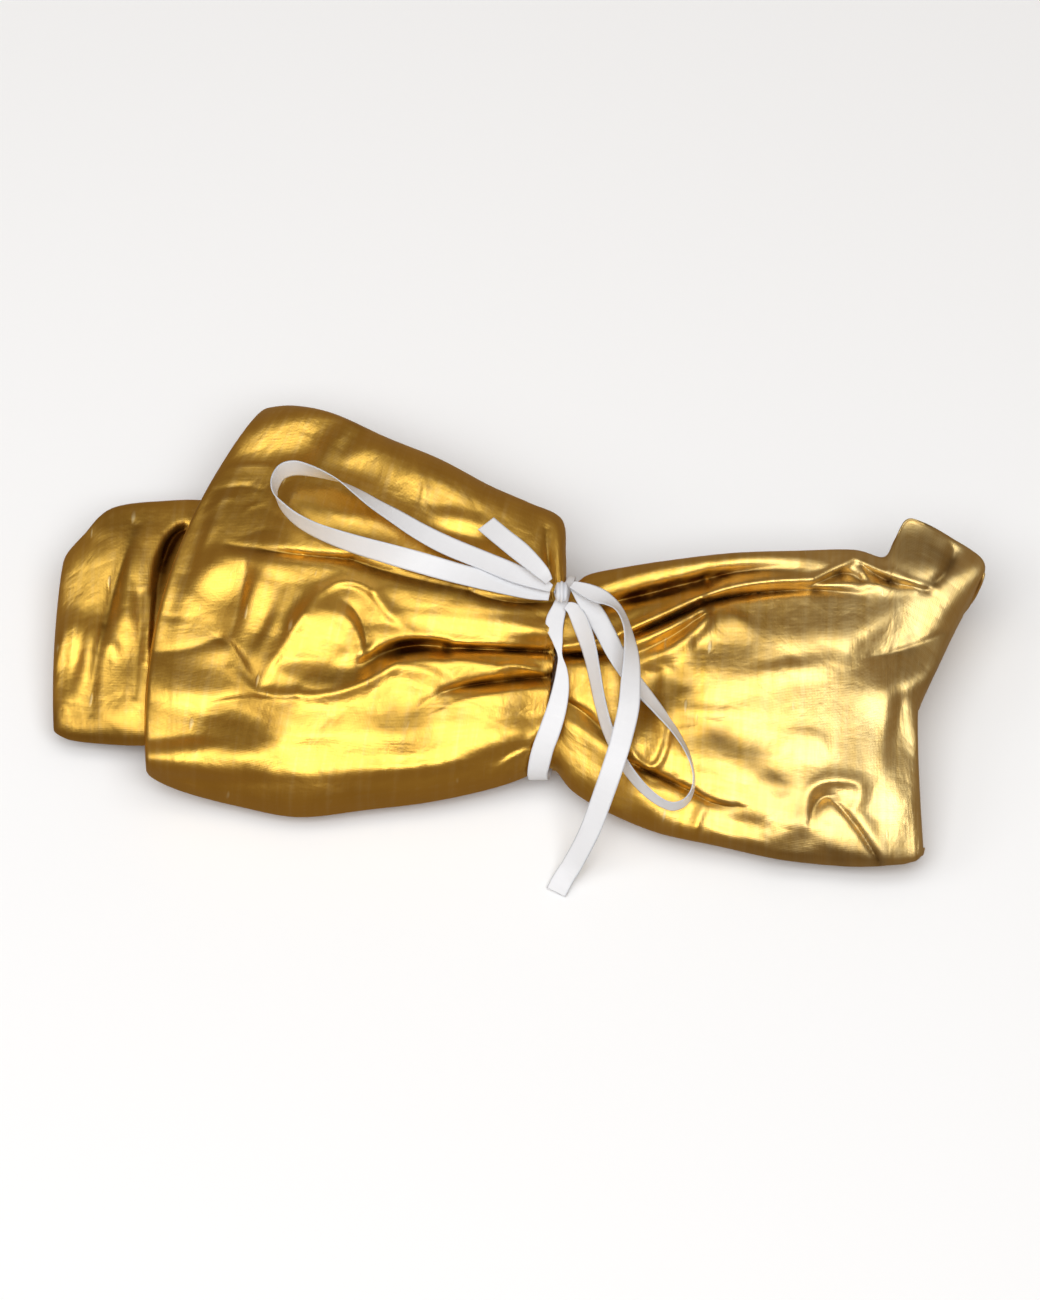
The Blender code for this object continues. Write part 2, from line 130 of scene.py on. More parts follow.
RIGHT_PANEL = [
    (7.4, -38.2, 12.6, 14.9, 15.2, 25.0, 29.0, 0.0, 2.0, 5.0),
    (10.9, -39.4, 12.1, 17.2, 15.6, 25.0, 29.0, 0.0, 2.1, 5.5),
    (16.0, -45.5, 10.5, 21.0, 18.0, 25.5, 29.5, 0.0, 2.5, 8.0),
    (26.0, -51.5, 9.0, 31.0, 19.5, 27.0, 30.0, 0.0, 2.5, 8.0),
    (41.0, -58.3, 8.5, 46.0, 21.5, 28.0, 31.0, 0.0, 2.5, 8.0),
    (58.0, -62.3, 8.0, 64.0, 23.3, 29.0, 31.5, 0.0, 2.5, 8.0),
    (77.0, -67.3, 8.5, 83.0, 24.5, 28.5, 31.0, 0.0, 2.5, 8.0),
    (95.0, -69.8, 9.0, 100.0, 25.6, 27.5, 30.0, 0.0, 2.5, 7.0),
    (105.0, -70.2, 9.5, 109.0, 23.2, 27.5, 29.5, 0.0, 2.3, 5.0),
    (109.5, -70.0, 9.8, 112.4, 27.6, 31.0, 29.0, -1.5, 2.0, 4.5),
    (113.5, -69.8, 10.0, 116.0, 33.2, 34.5, 28.0, -3.0, 1.8, 4.0),
    (115.5, -69.4, 10.3, 121.0, 32.8, 33.5, 27.0, -5.0, 1.6, 3.5),
    (117.2, -69.0, 10.5, 129.0, 29.2, 31.0, 25.5, -7.5, 1.4, 3.0),
    (118.8, -67.5, 10.5, 138.4, 24.8, 26.0, 21.5, -10.5, 1.1, 2.0),
    (119.3, -66.0, 8.5, 138.2, 21.4, 18.5, 15.5, -10.5, 1.0, 1.5),
    (117.5, -64.0, 5.2, 134.4, 18.6, 9.5, 8.5, -10.0, 0.7, 1.0),
    (113.0, -62.0, 3.4, 128.5, 16.2, 4.2, 4.2, -7.5, 0.5, 0.7),
    (104.0, -59.5, 3.0, 118.0, 14.4, 3.0, 3.0, -3.0, 0.3, 0.5),
]
SIDE_FOLD = [
    (-86.0, -26.0, 11.0, -80.0, 47.0, 12.0, 14.5, 0.0, 0.5, 1.0),
    (-99.0, -28.4, 10.0, -93.0, 51.8, 13.5, 18.0, 0.0, 1.0, 2.0),
    (-112.0, -29.0, 9.0, -108.0, 51.2, 14.0, 20.5, 0.0, 1.5, 3.0),
    (-124.0, -28.2, 8.5, -123.5, 48.9, 13.5, 20.0, 0.0, 1.5, 3.0),
    (-134.0, -26.9, 8.5, -131.5, 40.4, 13.0, 18.0, -0.5, 1.5, 3.0),
    (-138.8, -24.2, 8.0, -137.0, 33.8, 12.0, 14.5, -1.0, 1.2, 2.0),
    (-138.8, -21.5, 5.8, -137.4, 31.4, 7.2, 8.5, -1.0, 0.8, 1.0),
    (-135.0, -19.6, 3.6, -133.0, 30.0, 3.9, 4.2, 0.0, 0.5, 0.7),
    (-125.0, -18.5, 3.0, -123.0, 29.5, 3.0, 3.0, 0.0, 0.3, 0.5),
]
# Columns: x, y_low, y_high
BACK_BAND = [
    (114.0, -58.0, 13.5),
    (92.0, -52.0, 14.0),
    (60.0, -40.0, 14.0),
    (30.0, -34.0, 13.0),
    (8.0, -33.0, 12.0),
    (-25.0, -32.0, 16.0),
    (-65.0, -26.0, 23.0),
    (-100.0, -20.0, 28.0),
    (-129.0, -18.0, 29.0),
]

# Flat places in the crumpled cloth, as the photograph shows them. Each is an ellipse of pixels with
# its long side turned down to the right. There the cloth leans this many degrees towards the viewer
# and to the right, and its middle is lifted by millimetres. edge is 2 for a soft border and 5 for a
# crisp one. A later row lies over an earlier one.
# Columns: u, v, half_long, half_short, turn, lean, lean_right, lift, edge
LEFT_FACETS = [
    # The upper left corner and the band down along the crown edge
    (298, 433, 62, 27, -4, 14, 0, 0.6, 3.6),
    (362, 458, 34, 18, 10, 18, 0, 0.5, 2.6),
    (436, 494, 70, 24, 30, 14, 0, 0.5, 2.8),
    (460, 527, 32, 12, 14, 22, 0, 0.5, 3.2),
    (338, 446, 32, 11, -53, 2, 0, -0.2, 2.2),
    # The wrinkled stretch at the left, and the ribbon loop's ground
    (238, 507, 44, 36, -20, -5, 0, -0.3, 3.4),
    (192, 534, 36, 11, 112, -4, 0, 0.0, 3.0),
    (345, 522, 54, 14, 20, 9, 0, 0.0, 3.0),
    (340, 505, 32, 9, 20, -10, 0, -0.2, 3.0),
    # Under the long crease
    (412, 581, 86, 15, 13, -6, 0, -0.2, 2.8),
    (300, 572, 46, 11, 13, 11, 0, 0.3, 3.0),
    (195, 614, 40, 26, -4, 15, 0, 0.0, 3.0),
    (222, 580, 25, 25, 0, 24, 0, 0.5, 3.5),
    (168, 600, 12, 46, 8, 10, 0, 0.0, 3.0),
    (262, 606, 34, 14, 96, 19, 0, 0.2, 4.0),
    (284, 624, 34, 10, 110, 7, 0, -0.3, 3.0),
    (358, 610, 18, 11, 50, 9, 0, -0.2, 3.0),
    (318, 636, 34, 26, -45, 27, 0, 1.0, 4.5),
    (270, 650, 22, 12, -50, 2, 0, -0.3, 3.0),
    (440, 601, 50, 11, 8, 10, 0, 0.0, 3.0),
    (470, 626, 84, 11, 4, 26, 0, 0.6, 4.0),
    # Under the crease from the left edge
    (198, 680, 56, 24, 6, -4, 0, -0.4, 2.8),
    (304, 668, 24, 9, -5, -2, 0, -0.4, 3.0),
    (340, 676, 28, 11, -8, -8, 0, -0.6, 2.6),
    # The lower half
    (325, 720, 50, 20, 0, 14, 0, 0.2, 3.0),
    (460, 712, 46, 14, -6, 12, 0, 0.0, 3.0),
    (420, 677, 27, 10, 14, 26, 0, 0.5, 4.0),
    (182, 722, 36, 22, 0, 12, 0, 0.0, 3.0),
    (290, 757, 150, 18, 0, 28, 0, 0.4, 5.0),
    (450, 742, 74, 17, -8, 28, 0, 0.4, 4.0),
    (240, 728, 32, 25, 20, -9, 0, -0.7, 3.2),
    (397, 722, 26, 20, 10, 9, 0, -0.2, 2.2),
]
RIGHT_FACETS = [
    # Under the lip of the crown roll
    (830, 655, 80, 30, 0, 9, 0, 0.0, 2.4),
    (800, 614, 112, 26, -2, -4, 0, -1.6, 3.0),
    (722, 655, 38, 18, -10, 1, 0, -0.4, 2.4),
    (668, 694, 34, 20, 40, -6, 0, 0.0, 3.0),
    (736, 630, 18, 12, 55, 14, 0, 0.3, 4.0),
    (699, 626, 21, 8, 98, 24, 0, 0.8, 4.0),
    # The middle
    (752, 684, 68, 13, -14, 21, 0, 0.4, 3.5),
    (778, 696, 26, 9, -25, 13, 0, 0.0, 2.2),
    (805, 722, 40, 20, 0, 17, 0, 0.2, 2.6),
    (726, 716, 50, 7, 2, 20, 0, 0.3, 2.6),
    (770, 802, 62, 24, 8, 20, 0, 0.1, 2.8),
    (690, 766, 24, 22, 20, 24, 0, 0.3, 3.0),
    (730, 748, 46, 18, 14, 3, 0, -0.4, 2.2),
    (774, 776, 18, 11, 20, 2, 0, -0.2, 2.2),
    (804, 748, 21, 16, 10, 28, 0, 0.5, 3.0),
    # The right-hand side
    (902, 740, 46, 16, 92, 16, 0, 0.0, 2.2),
    (850, 738, 44, 15, 87, 12, 0, -0.1, 2.4),
    (872, 700, 34, 16, 90, 19, 0, 0.3, 3.0),
    (882, 808, 42, 26, 100, 22, 0, 0.2, 3.0),
    # The flared corner, the ridge that runs down from it and the hollow below
    (918, 551, 38, 27, 30, -9, 0, 0.0, 3.6),
    (962, 562, 24, 13, 40, 9, 8, 0.0, 2.4),
    (930, 606, 76, 19, -36, 25, 8, 1.0, 3.6),
    (900, 668, 40, 22, -12, -9, 0, -0.6, 2.8),
    # The lower edge
    (664, 801, 46, 18, 35, 28, 0, 0.2, 2.8),
    (728, 826, 36, 14, 10, 19, 0, 0.1, 2.6),
    (840, 829, 30, 20, 32, 28, 0, 0.5, 4.0),
    (787, 840, 24, 14, -35, 48, 0, -0.4, 2.6),
    # The pocket beside the ribbon's loop
    (640, 716, 36, 19, 100, -8, 0, -0.6, 2.6),
]
SIDE_FACETS = [
    (120, 521, 48, 14, -4, -9, 0, 0.0, 3.4),
    (92, 580, 34, 34, 0, 11, 0, 0.2, 3.0),
    (128, 590, 34, 12, 96, 15, 0, 0.2, 3.0),
    (90, 670, 34, 11, 92, 19, 0, 0.2, 3.0),
    (70, 652, 30, 12, 92, 27, 0, 0.4, 3.2),
    (125, 636, 36, 11, 92, 21, 0, 0.2, 3.0),
    (114, 692, 24, 14, 90, 4, 0, -0.2, 2.6),
]

# Painted shade: the colour is painted darker at these places, standing in for dark reflections.
# Places where the photograph's gold is browner than its folds alone would make it. share is 1 where
# it is fully dark.
# Columns: u, v, half_long, half_short, turn, share
LEFT_PAINTED_SHADE = [
    (236, 506, 46, 36, -20, 0.28),
    (345, 524, 62, 16, 20, 0.22),
    (336, 450, 34, 10, -53, 0.25),
    (170, 672, 62, 22, 10, 0.22),
    (241, 730, 30, 24, 20, 0.30),
    (397, 719, 24, 24, 20, 0.38),
    (340, 677, 36, 10, -8, 0.42),
    (266, 640, 32, 10, -55, 0.25),
    (410, 582, 80, 10, 13, 0.22),
    (182, 600, 30, 10, 105, 0.20),
]
RIGHT_PAINTED_SHADE = [
    (800, 612, 115, 22, -3, 0.30),
    (724, 656, 46, 18, -15, 0.28),
    (672, 696, 36, 22, 50, 0.30),
    (706, 734, 24, 10, 8, 0.50),
    (742, 752, 30, 15, 30, 0.52),
    (774, 780, 17, 9, 30, 0.38),
    (905, 666, 36, 28, -14, 0.30),
    (850, 738, 42, 16, 90, 0.24),
    (897, 742, 50, 12, 94, 0.18),
    (918, 546, 40, 28, 30, 0.42),
    (815, 848, 72, 14, 6, 0.45),
    (792, 826, 12, 24, 20, 0.35),
    (640, 718, 30, 15, 100, 0.42),
]
SIDE_PAINTED_SHADE = [
    (122, 520, 34, 14, -4, 0.30),
    (92, 726, 60, 16, 5, 0.42),
    (130, 600, 60, 8, 92, 0.18),
    (168, 560, 40, 12, 115, 0.35),
]

# Thin folds over those places. Each runs through three pixels. The heights are millimetres at those
# pixels, below zero for a crease. The widths are pixels on the left-hand and right-hand side of the
# way it runs, and sharp is 2 for a soft round and 1 for a pinched one.
# Columns: u0, v0, u1, v1, u2, v2, height0, height1, height2, wide_left, wide_right, sharp
LEFT_FOLDS = [
    # The wrinkled stretch
    (222, 470, 246, 465, 270, 466, 0.3, 0.5, 0.3, 3, 5, 1.6),
    (214, 492, 238, 486, 262, 490, -0.3, -0.7, -0.3, 4, 5, 1.6),
    (206, 512, 222, 500, 232, 498, 0.4, 0.6, 0.2, 4, 4, 1.5),
    (244, 512, 252, 506, 262, 504, 0.2, 0.5, 0.2, 2.5, 2.5, 1.4),
    (212, 526, 205, 542, 200, 560, 0.4, 0.6, 0.3, 4, 4, 1.6),
    (238, 540, 262, 532, 286, 534, -0.2, -0.5, -0.2, 5, 5, 1.6),
    (420, 474, 424, 490, 418, 512, 0.3, 0.7, 0.3, 5, 3, 1.6),
    # The long crease, and the swell under it
    (228, 546, 288, 554, 352, 560, -0.6, -2.4, -2.6, 4, 5, 1.6),
    (352, 560, 404, 577, 470, 592, -2.2, -1.5, -1.2, 5, 7, 1.6),
    (470, 592, 512, 603, 556, 601, -1.6, -2.6, -1.8, 5, 6, 1.6),
    (247, 556, 243, 600, 232, 640, -0.4, -0.6, -0.3, 3, 3, 1.4),
    # The arch
    (262, 686, 284, 648, 306, 614, 0.8, 1.4, 1.4, 7, 5, 1.6),
    (306, 614, 338, 584, 374, 592, 1.3, 1.8, 1.8, 6, 5, 1.6),
    (374, 592, 387, 610, 406, 628, 1.8, 1.4, 0.6, 8, 5, 1.7),
    (342, 602, 360, 616, 368, 644, -0.4, -1.2, -1.2, 5, 5, 1.6),
    (346, 616, 358, 632, 363, 654, 0.7, 1.0, 0.8, 4, 5, 1.6),
    # The crease in from the left edge
    (146, 652, 184, 650, 222, 638, -0.5, -1.0, -1.0, 6, 8, 1.6),
    (222, 638, 240, 655, 258, 692, -1.3, -1.1, -0.4, 4, 8, 1.6),
    (158, 612, 176, 618, 198, 616, -0.2, -0.5, -0.2, 5, 5, 1.6),
    (178, 650, 177, 700, 180, 772, 0.2, 0.35, 0.2, 2, 2, 1.4),
    # The lower lip
    (234, 668, 262, 692, 300, 694, 0.7, 1.2, 1.3, 6, 5, 1.6),
    (300, 694, 346, 690, 398, 663, 1.3, 1.6, 1.8, 4, 8, 1.6),
    (214, 706, 240, 699, 296, 698, -0.3, -0.7, -0.3, 4, 6, 1.6),
    (408, 716, 424, 704, 442, 694, -0.2, -0.6, -0.5, 5, 7, 1.6),
    # The deep fold that opens from the waist, and the rolls beside it
    (364, 666, 402, 648, 446, 648, -1.4, -5.6, -4.6, 7, 8, 2.0),
    (446, 648, 506, 650, 568, 653, -4.6, -3.6, -3.4, 4, 4.5, 1.7),
    (398, 664, 450, 661, 500, 667, 1.2, 1.6, 1.4, 4, 12, 1.8),
    (500, 667, 530, 668, 562, 684, 1.7, 1.9, 1.2, 4, 6, 1.6),
    (440, 694, 478, 684, 558, 676, -0.8, -3.0, -3.4, 5, 5, 1.7),
    (448, 706, 490, 695, 558, 688, 0.5, 1.3, 1.2, 4, 14, 1.9),
    # The lower edge
    (494, 772, 512, 757, 530, 749, 0.5, 1.3, 1.0, 5, 8, 1.7),
    (526, 748, 541, 725, 558, 704, 0.6, 1.1, 0.8, 5, 5, 1.6),
    # The rolled corner at the waist
    (556, 524, 558, 555, 560, 586, 0.9, 1.2, 0.9, 4, 4, 1.7),
    (546, 530, 548, 560, 551, 582, -0.9, -1.9, -1.0, 4, 5, 1.6),
]
RIGHT_FOLDS = [
    # The roll along the crown edge
    (592, 590, 650, 571, 706, 561, 1.0, 1.6, 1.4, 5, 8, 1.7),
    (706, 561, 765, 556, 822, 562, 1.4, 1.3, 0.8, 5, 8, 1.7),
    (596, 608, 650, 594, 706, 580, -2.8, -5.0, -4.4, 8, 8, 1.9),
    (706, 580, 745, 572, 794, 570, -4.4, -2.6, -0.6, 7, 6, 1.9),
    # The thin lip under it, and the dark crease that it hides
    (614, 636, 652, 619, 700, 597, 1.2, 2.4, 2.4, 5, 3.5, 1.7),
    (700, 597, 750, 584, 810, 580, 2.4, 2.0, 1.5, 5, 3.5, 1.7),
    (810, 580, 828, 572, 852, 559, 1.5, 1.5, 1.6, 4, 4, 1.6),
    (626, 637, 662, 622, 702, 604, -2.2, -3.6, -3.4, 3, 4.5, 1.6),
    (702, 604, 750, 594, 815, 590, -3.4, -3.0, -1.4, 3, 4.5, 1.6),
    (815, 590, 838, 592, 862, 596, -2.4, -1.0, -0.3, 4, 6, 1.6),
    (816, 585, 840, 574, 858, 581, -0.6, -2.8, -1.2, 5, 5, 1.8),
    (862, 565, 886, 581, 908, 587, -1.2, -2.8, -1.0, 4, 5, 1.8),
    (852, 557, 882, 572, 932, 588, 1.4, 1.7, 1.0, 4, 4, 1.6),
    (814, 586, 870, 585, 912, 590, 0.8, 1.3, 0.8, 3, 6, 1.7),
    (858, 562, 862, 574, 866, 584, 0.8, 1.2, 0.8, 3, 3, 1.6),
    # The fingers that fan out of the waist
    (632, 642, 668, 627, 704, 605, 1.2, 2.0, 2.3, 6, 6, 1.8),
    (640, 663, 675, 646, 706, 620, 1.0, 1.8, 1.9, 6, 10, 1.8),
    (634, 654, 668, 638, 700, 616, -0.6, -1.6, -1.2, 5, 5, 1.8),
    (644, 664, 661, 668, 662, 688, 0.5, 0.9, 0.5, 6, 6, 1.7),
    # The pocket beside the ribbon's loop, and the crease below it
    (625, 742, 651, 766, 668, 728, 1.2, 1.8, 1.0, 3.5, 3.5, 1.6),
    (623, 758, 652, 772, 690, 790, -2.4, -3.0, -2.3, 3, 6, 1.6),
    (690, 790, 714, 802, 736, 804, -2.3, -2.0, -0.8, 3, 6, 1.6),
    (638, 770, 655, 781, 672, 777, -0.6, -1.2, -0.5, 5, 5, 1.7),
    (702, 806, 694, 825, 691, 846, 0.6, 1.4, 0.7, 4, 6, 1.5),
    # The hook near the lower edge
    (803, 816, 808, 786, 838, 779, 0.7, 1.4, 1.4, 9, 5, 1.7),
    (838, 779, 855, 785, 850, 806, 1.4, 1.2, 0.6, 8, 5, 1.7),
    (806, 818, 816, 798, 830, 795, -0.7, -1.6, -1.0, 5, 6, 1.6),
    (826, 796, 850, 822, 876, 862, -1.0, -1.6, -1.5, 3, 3, 1.5),
    (853, 800, 865, 830, 888, 864, 0.3, 0.5, 0.3, 9, 6, 1.7),
    # The edges of the ridge from the flared corner
    (953, 548, 950, 566, 926, 590, -0.8, -1.8, -1.4, 4, 6, 1.6),
    (868, 656, 900, 650, 940, 634, -0.6, -1.2, -0.6, 4, 8, 1.6),
    # The waist, right of the ribbon
    (562, 646, 590, 641, 626, 632, 1.0, 1.5, 0.8, 4, 4, 1.6),
    (556, 655, 590, 654, 616, 652, -4.0, -3.8, -1.4, 3.5, 6, 1.6),
    (564, 700, 588, 716, 608, 738, -1.4, -2.0, -1.0, 4, 8, 1.7),
    (556, 716, 600, 742, 634, 770, 0.6, 1.4, 0.9, 6, 12, 1.9),
]
SIDE_FOLDS = [
    (133, 526, 119, 572, 105, 625, -0.8, -1.8, -1.5, 7, 7, 1.8),
    (105, 625, 97, 665, 94, 712, -1.3, -1.4, -0.6, 7, 6, 1.8),
    (141, 596, 140, 645, 136, 696, -0.4, -1.1, -0.6, 5, 5, 1.7),
    (151, 598, 149, 630, 147, 662, 0.6, 0.9, 0.4, 3, 3, 1.6),
    (101, 692, 112, 645, 131, 696, 0.3, 1.0, 0.3, 9, 8, 1.8),
    (80, 600, 73, 650, 66, 704, 0.4, 0.8, 0.6, 8, 5, 1.8),
    (66, 690, 74, 704, 78, 718, -0.2, -0.5, -0.2, 5, 6, 1.7),
    (182, 530, 162, 560, 153, 642, -3.0, -3.8, -0.8, 8, 7, 1.9),
]
# How high the small crumples stand, and how wide they are in pixels
CRUMPLES = [(0.30, 34.0), (0.10, 15.0)]

# The ribbon's middle line, as in the part. roll turns its width up from the level.
# Columns: x, y, z, roll, width
LOOP_LEFT = [
    (9.3, 8.3, 37.2, 0.0, 2.6),
    (6.3, 9.5, 38.1, 0.0, 4.4),
    (-1.5, 12.3, 39.3, 0.0, 6.35),
    (-11.7, 16.5, 40.4, 0.0, 6.35),
    (-21.9, 20.8, 41.4, 0.0, 6.35),
    (-30.0, 25.3, 42.0, 10.0, 6.35),
    (-37.2, 30.1, 42.6, 22.0, 6.35),
    (-43.2, 34.1, 43.0, 34.0, 6.35),
    (-48.0, 37.8, 43.2, 46.0, 6.35),
    (-53.1, 41.6, 43.2, 62.0, 6.35),
    (-57.9, 44.1, 43.0, 77.0, 6.35),
    (-62.7, 46.1, 42.6, 90.0, 6.35),
    (-67.5, 47.3, 42.2, 102.0, 6.35),
    (-71.4, 46.2, 41.8, 107.0, 6.35),
    (-73.5, 42.1, 41.6, 107.0, 6.35),
    (-73.2, 37.5, 41.8, 102.0, 6.35),
    (-70.8, 33.6, 42.0, 92.0, 6.35),
    (-66.6, 29.3, 42.2, 84.0, 6.35),
    (-60.0, 25.1, 42.4, 76.0, 6.35),
    (-50.4, 21.1, 42.4, 62.0, 6.35),
    (-39.6, 17.7, 42.0, 48.0, 6.35),
    (-29.4, 14.7, 41.4, 28.0, 6.35),
    (-18.6, 11.7, 40.4, 10.0, 6.35),
    (-6.0, 9.1, 38.6, 0.0, 6.35),
    (3.0, 7.5, 36.8, 0.0, 5.2),
    (8.7, 6.5, 35.6, 0.0, 2.8),
]
LOOP_RIGHT = [
    (15.9, 9.1, 37.0, 0.0, 2.4),
    (18.6, 5.0, 37.6, 0.0, 4.4),
    (21.9, -0.0, 37.2, -6.0, 6.35),
    (25.2, -6.1, 36.4, -12.0, 6.35),
    (28.2, -12.2, 35.0, -18.0, 6.35),
    (32.1, -18.4, 33.0, -24.0, 6.35),
    (36.6, -24.0, 31.4, -32.0, 6.35),
    (41.4, -30.3, 30.8, -44.0, 6.35),
    (45.9, -36.8, 30.2, -58.0, 6.35),
    (49.5, -43.6, 29.4, -70.0, 6.35),
    (51.3, -50.1, 28.0, -82.0, 6.35),
    (50.7, -55.1, 26.4, -91.0, 6.35),
    (48.0, -58.1, 25.0, -97.0, 6.35),
    (43.8, -58.4, 24.4, -97.0, 6.35),
    (38.4, -54.6, 24.4, -89.0, 6.35),
    (33.3, -48.7, 25.0, -82.0, 6.35),
    (29.1, -41.8, 26.2, -76.0, 6.35),
    (25.8, -33.9, 28.2, -70.0, 6.35),
    (23.7, -26.3, 30.6, -66.0, 6.35),
    (22.2, -18.8, 33.2, -62.0, 6.35),
    (20.7, -11.8, 35.4, -56.0, 6.35),
    (18.6, -4.7, 36.4, -46.0, 6.0),
    (16.2, 1.3, 36.2, -30.0, 4.4),
    (13.8, 3.6, 35.2, -10.0, 2.4),
]
TAIL_SHORT = [
    (8.6, 9.4, 39.6, 0.0, 2.6),
    (6.4, 11.7, 41.4, 0.0, 4.6),
    (0.3, 18.0, 42.0, 0.0, 6.35),
    (-6.0, 24.2, 41.5, 0.0, 6.35),
    (-10.2, 28.9, 40.5, 0.0, 6.35),
]
TAIL_LONG = [
    (15.5, 9.0, 38.4, 0.0, 2.6),
    (19.2, 6.5, 39.8, -5.0, 4.8),
    (23.4, 3.8, 40.6, -16.0, 6.35),
    (27.0, 1.3, 41.0, -38.0, 6.35),
    (30.0, -2.3, 41.2, -58.0, 6.35),
    (32.1, -8.3, 40.8, -62.0, 6.35),
    (33.0, -15.9, 39.6, -44.0, 6.35),
    (32.7, -24.8, 38.2, -24.0, 6.35),
    (32.1, -32.3, 36.8, -12.0, 6.35),
    (30.3, -40.2, 34.8, -4.0, 6.35),
    (28.5, -46.1, 32.4, 0.0, 6.35),
    (25.2, -54.0, 26.4, 0.0, 6.35),
    (20.7, -61.9, 15.4, 0.0, 6.35),
    (15.9, -67.5, 6.0, 0.0, 6.35),
    (12.9, -71.0, 2.4, 0.0, 6.35),
    (10.7, -74.9, 0.95, 0.0, 6.35),
]
# Columns: x, y, z, width
BAND = [
    (15.7, 17.8, 25.0, 1.8),
    (15.7, 16.9, 29.6, 1.8),
    (15.0, 13.6, 32.6, 2.4),
    (13.6, 9.4, 33.8, 3.0),
    (11.8, 4.0, 33.6, 4.4),
    (10.3, -1.5, 33.4, 5.4),
    (11.2, -7.5, 32.9, 3.0),
    (11.9, -11.8, 32.0, 1.4),
    (12.4, -16.0, 31.2, 3.2),
    (12.2, -21.0, 29.8, 4.8),
    (11.0, -27.0, 27.8, 5.8),
    (9.0, -32.8, 25.0, 6.35),
    (7.0, -37.2, 22.0, 6.35),
    (5.8, -40.4, 18.4, 6.35),
    (5.2, -42.0, 14.0, 6.0),
    (5.6, -41.4, 9.6, 5.8),
    (6.4, -37.6, 7.6, 6.0),
    (7.8, -30.0, 7.3, 6.35),
    (9.8, -16.0, 7.5, 6.35),
    (12.4, -2.0, 8.4, 6.35),
    (14.2, 8.4, 11.4, 4.8),
    (15.4, 14.8, 15.6, 3.2),
    (15.7, 17.6, 20.4, 2.0),
]
KNOT = (12.4, 7.5, 36.7)
KNOT_SIZE = (3.8, 6.4, 3.8)
KNOT_WALL = 0.3
KNOT_GROOVE = 0.07                     # depth of the grooves between its turns, for a radius of 1


def smooth_rows(rows, steps):
    """A table's rows with more rows between them, on smooth curves."""
    table = np.array(rows, float)
    last = len(table) - 1
    t = np.linspace(0, last, last * steps + 1)
    i = np.minimum(t.astype(int), last - 1)
    u = (t - i)[:, None]
    a, b, c, d = (table[np.clip(i + k, 0, last)] for k in (-1, 0, 1, 2))
    return b + 0.5 * u * (c - a + u * (2 * a - 5 * b + 4 * c - d + u * (3 * (b - c) + d - a)))


def seen_at(points):
    """The pixels of the photograph that show these points."""
    up = points[..., 1] * math.sin(ELEVATION) + (points[..., 2] - LOOK_HEIGHT) * math.cos(ELEVATION)
    return CENTRE_U + points[..., 0] / MM_PER_PIXEL, CENTRE_V - up / MM_PER_PIXEL


def ramp(value, start, end):
    """0 before start and 1 after end, smooth between them."""
    t = np.clip((value - start) / (end - start), 0, 1)
    return t * t * (3 - 2 * t)


def grid_normals(grid):
    """The directions square to a grid of points."""
    across = np.cross(np.gradient(grid, axis=0), np.gradient(grid, axis=1))
    return across / np.maximum(np.linalg.norm(across, axis=-1, keepdims=True), 1e-9)


def place_distance(u, v, u0, v0, half_long, half_short, turn):
    """How far these pixels are from the middle of an ellipse, 1 at its edge."""
    turn = math.radians(turn)
    du, dv = u - u0, v - v0
    along = (du * math.cos(turn) + dv * math.sin(turn)) / half_long
    aside = (dv * math.cos(turn) - du * math.sin(turn)) / half_short
    return np.hypot(along, aside)


def painted_shade_places(places, u, v):
    """How much painted shade darkens the cloth at these pixels."""
    unshaded = np.ones(u.shape)
    for u0, v0, half_long, half_short, turn, share in places:
        far = place_distance(u, v, u0, v0, half_long, half_short, turn)
        unshaded *= 1 - share * np.exp(-PLACE_FALL * far ** PAINTED_SHADE_EDGE)
    return 1 - unshaded


def flatten_places(facets, bare, u, v, facing):
    """How far the flat places move the cloth towards the camera."""
    moved = np.zeros(u.shape)
    view = math.pi / 2 - ELEVATION
    for u0, v0, half_long, half_short, turn, lean, lean_right, lift, edge in facets:
        middle = np.argmin(np.hypot(u - u0, v - v0) + 1e3 * (facing < 0.2))
        far = place_distance(u, v, u0, v0, half_long, half_short, turn)
        share = np.exp(-PLACE_FALL * far ** edge) * facing
        lean, lean_right = np.radians([lean, lean_right])
        rise = (v - v0) * math.tan(view - lean)
        rise -= (u - u0) * math.tan(lean_right) / math.cos(lean - view)
        flat = (bare + moved).flat[middle] + lift + rise * MM_PER_PIXEL
        moved += share * (flat - bare - moved)
    return moved


